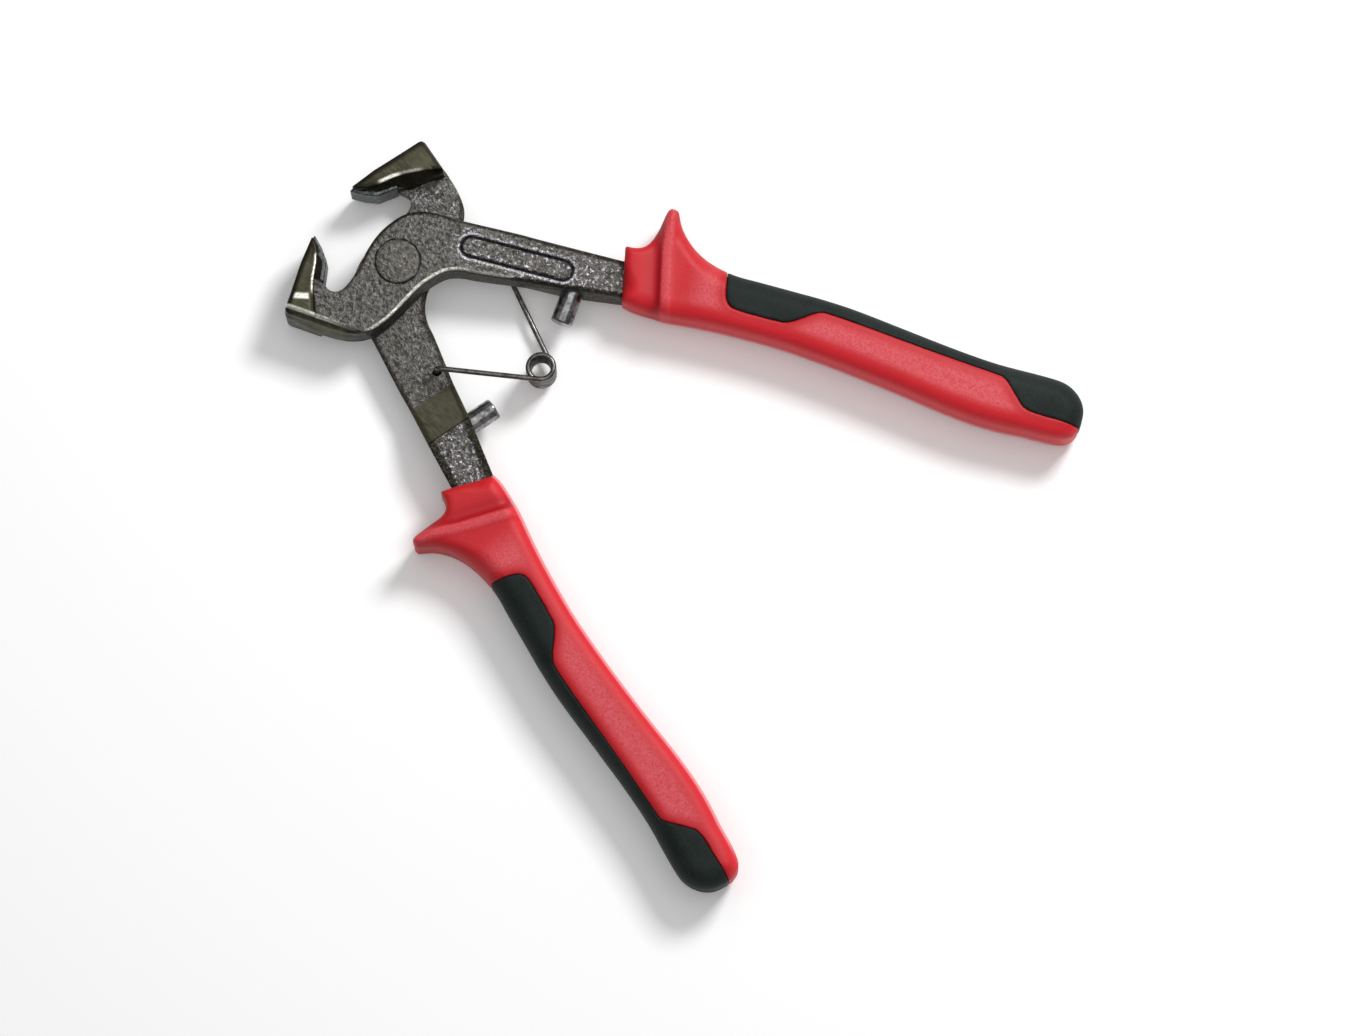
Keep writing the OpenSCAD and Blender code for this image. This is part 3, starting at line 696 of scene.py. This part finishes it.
class Surface(Sheet):
    """A material, with values for its shader's own sockets."""

    def __init__(self, name, **values):
        self.material = bpy.data.materials.new(name)
        self.material.use_nodes = True
        super().__init__(self.material.node_tree)
        self.shader = self.nodes["Principled BSDF"]
        for key, value in values.items():
            self.put(self.shader.inputs[key.replace("_", " ")], value)

    def effect(self, group, **inputs):
        """Outputs of a shared effect, placed here with this material's own values."""
        node = self.nodes.new("ShaderNodeGroup")
        node.node_tree = group
        for key, value in inputs.items():
            self.put(node.inputs[key.replace("_", " ")], value)
        return node.outputs

    def finish(self, colour, roughness, height=None, strength=1.0, rise=None):
        """Give the shader its colour and roughness, and relief that rises this many millimetres."""
        self.put(self.shader.inputs["Base Color"], colour)
        self.put(self.shader.inputs["Roughness"], roughness)
        if height:
            normal = self.add("ShaderNodeBump", Strength=strength, Distance=rise * MM,
                              Height=height)
            self.put(self.shader.inputs["Normal"], normal)
        return self.material


def shared_effect(name, inputs, outputs, build):
    """Node group of one effect. inputs and outputs name its sockets and give their kinds; build
    adds its nodes and gives a value for each output."""
    tree = bpy.data.node_groups.new(name, "ShaderNodeTree")
    for way, sockets in (("INPUT", inputs), ("OUTPUT", outputs)):
        for socket, kind in sockets.items():
            tree.interface.new_socket(socket, in_out=way, socket_type="NodeSocket" + kind)
    sheet = Sheet(tree)
    given = tree.nodes.new("NodeGroupInput").outputs
    result = tree.nodes.new("NodeGroupOutput").inputs
    for socket, value in build(sheet, given).items():
        sheet.put(result[socket], value)
    return tree


# The second colour is painted sparkle highlights on the scale's bumps
SCALE_TINT, PAINTED_SPARKLE, SCALE_RISE = (0.144, 0.131, 0.125), (0.75, 0.712, 0.812), 0.42


def scale_nodes(s, given):
    """Lumpy scale of two tones, tinted in clouds, with painted sparkle highlights as bright flecks.
    """
    lumps = s.noise(0.9, 3, 0.6)
    grain = s.noise(2.4, 2, 0.6)
    spots = s.noise(1.25, 2, 0.6)
    cloud = s.noise(0.32, 2, 0.6)
    colour = s.mix(s.share(lumps, 0.38, 0.66), given["Dark"], given["Light"])
    colour = s.mix(s.share(cloud, 0.42, 0.66), colour, s.mix(0.5, colour, SCALE_TINT))
    # Painted highlights: bright sparkles put into the colour, as much as the share given
    sparkle = s.times(s.share(spots, 0.56, 0.65), given["Flecks"])
    height = s.add("ShaderNodeMath", operation="ADD", _0=s.times(lumps, 1.6),
                   _1=s.times(grain, 0.6))
    return {"Colour": s.mix(sparkle, colour, PAINTED_SPARKLE), "Grain": grain, "Height": height}


def texture_nodes(s, given):
    """Slow clouds and fine grain, each at its own scale."""
    return {"Cloud": s.noise(given["Cloud Scale"], 4, 0.6),
            "Grain": s.noise(given["Grain Scale"], 3, 0.6)}


FORGING_SCALE = shared_effect(
    "forging_scale", {"Dark": "Color", "Light": "Color", "Flecks": "Float"},
    {"Colour": "Color", "Grain": "Float", "Height": "Float"}, scale_nodes
)
CLOUD_AND_GRAIN = shared_effect(
    "cloud_and_grain", {"Cloud Scale": "Float", "Grain Scale": "Float"},
    {"Cloud": "Float", "Grain": "Float"}, texture_nodes
)
# How much painted sparkle highlight the scale gets: a little, and much
FEW_SPARKLES, MANY_SPARKLES = 0.15, 0.9
# Painted shade on the forging's edges, then painted shade in its groove and leg hole
PAINTED_EDGE_SHADE, PAINTED_GROOVE_SHADE = (0.015, 0.014, 0.006), (0.01, 0.01, 0.01)
# Painted highlights: on the panel's lip, then on the jaw's ridge, crease and band and the head's
# lower edge
PAINTED_LIP_HIGHLIGHT, PAINTED_HIGHLIGHT = (0.975, 0.938, 1.0), (1.0, 0.988, 0.9)
# Tones of a ground face: dark, light, its streaks and the painted shade on its edge
JAW_TONES = (0.04, 0.037, 0.02), (0.081, 0.077, 0.05), (0.138, 0.131, 0.1), (0.01, 0.009, 0.005)
PATCH_TONES = ((0.119, 0.112, 0.069), (0.188, 0.179, 0.116), (0.225, 0.213, 0.15),
               (0.025, 0.024, 0.013))


def scale_roughness(s, grain):
    return s.share(grain, -0.8, 2.2)


def forged_steel(name, dark, light):
    """Forged steel with its coarse scale and painted sparkle highlights, ground smooth where the
    masks say so, with painted shade on its edges and in its groove, and painted highlights on its
    lip and bright edges.
    """
    s = Surface(name, Metallic=0.9)
    ground, patch, edge = s.mask("ground"), s.mask("patch"), s.mask("edge")
    scale = s.effect(FORGING_SCALE, Dark=dark, Light=light,
                     Flecks=s.blend(s.mask("sparkle_paint"), FEW_SPARKLES, MANY_SPARKLES))
    grain = scale["Grain"]
    cloud = s.share(s.noise(0.25, 3, 0.5), 0.3, 0.7)
    streaks = s.noise(1.2, 3, 0.6, s.stretched((0.25, 2.2, 0.6)))

    def ground_face(tones, low, high, edge_shade_depth):
        face_dark, face_light, streak, rim = tones
        face = s.mix(s.share(streaks, low, high), s.mix(cloud, face_dark, face_light), streak)
        # Painted shade: the ground face turns to its last, dark tone along the edges
        return s.mix(s.times(edge, edge_shade_depth), face, rim)

    jaw = ground_face(JAW_TONES, 0.52, 0.78, 0.85)
    flat = ground_face(PATCH_TONES, 0.35, 0.75, 0.75)
    # Painted shade along the edges of the scale, deeper in patches
    edge_shade = s.times(edge, s.blend(s.share(grain, 0.35, 0.65), 0.75, 1.0))
    colour = s.mix(ground, s.mix(edge_shade, scale["Colour"], PAINTED_EDGE_SHADE), jaw)
    colour = s.mix(patch, colour, flat)
    broken = s.share(grain, 0.4, 0.56)
    # Painted highlight on the panel's lip, broken up by the grain
    colour = s.mix(s.times(s.mask("rim"), broken), colour, PAINTED_LIP_HIGHLIGHT)
    # Painted highlights on the jaw's ridge, crease and band and on the head's lower edge
    colour = s.mix(s.times(s.mask("highlight_paint"), s.blend(broken, 0.6, 1.0)), colour, PAINTED_HIGHLIGHT)
    # Painted shade in the groove and the leg hole
    colour = s.mix(s.mask("groove"), colour, PAINTED_GROOVE_SHADE)
    smooth = s.add("ShaderNodeMath", operation="MAXIMUM", _0=ground, _1=patch)
    roughness = s.blend(smooth, scale_roughness(s, grain), s.share(streaks, -0.55, 2.0))
    height = s.times(scale["Height"], s.blend(smooth, 1.0, 0.08))
    return s.finish(colour, roughness, height, 1.0, SCALE_RISE)


def rivet_steel(name, dark, light):
    """The forging's own scale on the rivet's heads, with few painted sparkle highlights."""
    s = Surface(name, Metallic=0.9)
    scale = s.effect(FORGING_SCALE, Dark=dark, Light=light, Flecks=FEW_SPARKLES)
    roughness = scale_roughness(s, scale["Grain"])
    return s.finish(scale["Colour"], roughness, scale["Height"], 1.0, SCALE_RISE)


def worn_steel(name, dark, light, roughness, grain=2.0, rise=0.05, cloud=0.5):
    """Dark metal with a cloudy tone and fine scratches."""
    s = Surface(name, Metallic=0.92)
    tone = s.effect(CLOUD_AND_GRAIN, Cloud_Scale=cloud, Grain_Scale=grain)
    colour = s.mix(s.share(tone["Cloud"], 0.35, 0.65), dark, light)
    rough = s.blend(tone["Grain"], roughness - 0.1, roughness + 0.1)
    return s.finish(colour, rough, tone["Grain"], 0.6, rise)


PLASTIC = {"Cloud_Scale": 0.09, "Grain_Scale": 1.8}
PLASTIC_STRENGTH, PLASTIC_RISE = 0.4, 0.12
# Tints of the red: painted sheen on the middle of its faces, painted light on its rounded inner
# side, painted shade in hollows, and a pale line along its edge
PAINTED_SHEEN_RED, PAINTED_SIDE_LIGHT_RED = (0.675, 0.106, 0.125), (0.775, 0.022, 0.035)
PAINTED_SHADE_RED, EDGE_RED = (0.338, 0.004, 0.01), (0.938, 0.413, 0.45)


def dark_plastic(name, deep, pale):
    """The soft insert, matt and nearly black."""
    s = Surface(name, Specular_IOR_Level=0.15)
    tone = s.effect(CLOUD_AND_GRAIN, **PLASTIC)
    colour = s.mix(s.share(s.blend(0.5, tone["Cloud"], tone["Grain"]), 0.35, 0.7), deep, pale)
    return s.finish(colour, s.blend(tone["Grain"], 0.54, 0.7), tone["Grain"], PLASTIC_STRENGTH,
                    PLASTIC_RISE)


def red_plastic(name, deep, pale):
    """The red grip: painted sheen on the middle of its faces, painted light on its rounded inner
    side, paler along its edge, and painted shade deepening its hollows.
    """
    s = Surface(name, Specular_IOR_Level=0.27)
    tone = s.effect(CLOUD_AND_GRAIN, **PLASTIC)
    grain = tone["Grain"]
    colour = s.mix(s.share(s.blend(0.4, tone["Cloud"], grain), 0.3, 0.75), deep, pale)
    for share, tint in (
        (s.times(s.mask("sheen_paint"), s.share(grain, 0.15, 0.7)), PAINTED_SHEEN_RED),
        (s.times(s.mask("side"), 0.7), PAINTED_SIDE_LIGHT_RED),
        (s.times(s.mask("hollow_shade_paint"), 0.6), PAINTED_SHADE_RED),
        (s.times(s.mask("bevel"), 0.6), EDGE_RED),
    ):
        colour = s.mix(share, colour, tint)
    return s.finish(colour, s.blend(grain, 0.42, 0.58), grain, PLASTIC_STRENGTH, PLASTIC_RISE)


STEEL = forged_steel("scaled_forging", (0.056, 0.054, 0.041), (0.2, 0.194, 0.185))
RIVET = rivet_steel("scaled_rivet", (0.075, 0.073, 0.056), (0.194, 0.188, 0.166))
CARBIDE = worn_steel("ground_carbide", (0.025, 0.03, 0.025), (0.138, 0.156, 0.15), 0.42,
                     grain=1.6, rise=0.2, cloud=1.0)
PIN = worn_steel("polished_pin", (0.062, 0.062, 0.056), (0.425, 0.425, 0.438), 0.2, grain=1.2)
WIRE = worn_steel("drawn_wire", (0.056, 0.054, 0.048), (0.188, 0.181, 0.175), 0.3)
RED = red_plastic("red_moulding", (0.5, 0.009, 0.015), (0.6, 0.019, 0.027))
DARK = dark_plastic("dark_moulding", (0.006, 0.011, 0.01), (0.02, 0.027, 0.025))


# Pieces

def piece(name, mesh, material, slot, body, *nodes):
    """A piece in its material, instead of these CAD nodes, riding on this body. slot is not used.
    """
    obj = bpy.data.objects.new(name, mesh)
    bpy.context.scene.collection.objects.link(obj)
    mesh.materials.append(material)
    if nodes:
        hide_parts(*nodes)
    if body:
        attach(obj, body)
    return obj


def placed(mesh, place):
    """A copy of a mesh, moved to its place."""
    mesh = mesh.copy()
    mesh.transform(place)
    return mesh


def of_half(shares, half):
    """Masks of one half, from the masks for any half."""
    return {name: partial(share, half) for name, share in shares.items()}


FORGED = {"ground": ground_share, "patch": patch_share, "edge": painted_edge_shade_share,
          "groove": painted_groove_shade_share, "rim": painted_lip_highlight_share, "highlight_paint": painted_highlight_share, "sparkle_paint": painted_sparkle_share}
MOULDED = {"sheen_paint": painted_sheen_share, "hollow_shade_paint": painted_hollow_shade_share, "bevel": bevel_share,
           "side": painted_side_light_share}
for side, half in HALVES.items():
    place, body = half["place"], side + "_half"
    forging = skinned(side + "_forging", partial(forged_half, half), (-25, -26, -9.5),
                      (61, 22, 9.5), FORGING_STEP, of_half(FORGED, half))
    red = skinned(side + "_grip", partial(red_grip, half), (51, 8, -9.3), (178, 39, 9.3),
                  GRIP_STEP, of_half(MOULDED, half))
    dark = skinned(side + "_insert", partial(dark_insert, half), (77, 16, -9.3),
                   (178, 31, 9.3), GRIP_STEP)
    piece(side + "_forging", placed(forging, place), STEEL, "forged_steel", body, side + "_arm")
    piece(side + "_carbide", placed(tip_mesh, place), CARBIDE, "carbide", body, side + "_jaw_tip")
    piece(side + "_pin", placed(pin_mesh, place @ pin_place), PIN, "pin_steel", body,
          side + "_stop_pin")
    piece(side + "_handle", placed(red, place), RED, "red_grip", body, side + "_grip")
    piece(side + "_handle_inlay", placed(dark, place), DARK, "dark_insert", body,
          side + "_grip_inlay")

lift = Matrix.Translation((0, 0, MID_Z * MM))
piece("rivet", placed(rivet_mesh, lift), RIVET, "rivet_steel", "rear_half", "pivot_rivet")
piece("spring_rear_leg", placed(rear_leg_mesh, lift), WIRE, "spring_wire", "spring_coil")
piece("spring_front_leg", placed(front_leg_mesh, lift), WIRE, "spring_wire", "spring_leg",
      "return_spring_front_leg")
coil = piece("spring_turns", placed(coil_mesh, lift), WIRE, "spring_wire", None, "return_spring")
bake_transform(coil)


# Floor, light and camera

FLOOR_HALF = 3.0
FLOOR_TONES = (0.94, 0.94, 0.94), (0.96, 0.96, 0.96)
# White that the floor adds for the camera and in reflections alone
FLOOR_GLOW = (0.12, 0.12, 0.12)
MIDDLE = (0.06, 0, 0)
WORLD_LIGHT = 0.2


def stage_floor():
    mesh = bpy.data.meshes.new("floor")
    a = FLOOR_HALF
    mesh.from_pydata([(-a, -a, 0), (a, -a, 0), (a, a, 0), (-a, a, 0)], [], [(0, 1, 2, 3)])
    floor = bpy.data.objects.new("floor", mesh)
    bpy.context.scene.collection.objects.link(floor)
    s = Surface("floor", Emission_Strength=1.0)
    path = s.nodes.new("ShaderNodeLightPath").outputs
    seen = s.add("ShaderNodeMath", operation="MAXIMUM", _0=path["Is Camera Ray"],
                 _1=path["Is Glossy Ray"])
    s.put(s.shader.inputs["Emission Color"], s.mix(seen, (0, 0, 0), FLOOR_GLOW))
    mesh.materials.append(s.finish(s.mix(s.noise(0.002, 2, 0.5), *FLOOR_TONES), 0.9))


def lamp(name, place, size, power):
    """A square soft light, turned to the middle of the tool."""
    data = bpy.data.lights.new(name, "AREA")
    data.size, data.energy = size, power
    obj = bpy.data.objects.new(name, data)
    obj.location = place
    obj.rotation_euler = (Vector(MIDDLE) - Vector(place)).to_track_quat("-Z", "Y").to_euler()
    bpy.context.scene.collection.objects.link(obj)


def studio_world():
    world = bpy.data.worlds.new("studio")
    world.use_nodes = True
    background = world.node_tree.nodes["Background"].inputs
    background["Color"].default_value = (1, 1, 1, 1)
    background["Strength"].default_value = WORLD_LIGHT
    bpy.context.scene.world = world


def studio_camera(target, azimuth, elevation, distance, lens):
    """A camera that looks at target from azimuth and elevation, in degrees."""
    camera = bpy.data.cameras.new("camera")
    camera.sensor_width, camera.lens = 36, lens
    view = bpy.data.objects.new("camera", camera)
    bpy.context.scene.collection.objects.link(view)
    az, el = radians(azimuth), radians(elevation)
    back = Vector((sin(az) * cos(el), -cos(az) * cos(el), sin(el)))
    view.location = target + distance * back
    view.rotation_euler = (-back).to_track_quat("-Z", "Y").to_euler()
    bpy.context.scene.camera = view


stage_floor()
lamp("key", (0.10, 0.62, 0.72), 0.26, 6.8)
lamp("overhead", (0.06, 0.0, 1.1), 1.2, 4.4)
studio_world()
studio_camera(Vector((0.09506, -0.0071, MID_Z * MM)), 37.75, 81, 1.825, 193.1)
bpy.context.scene.view_settings.view_transform = "Standard"
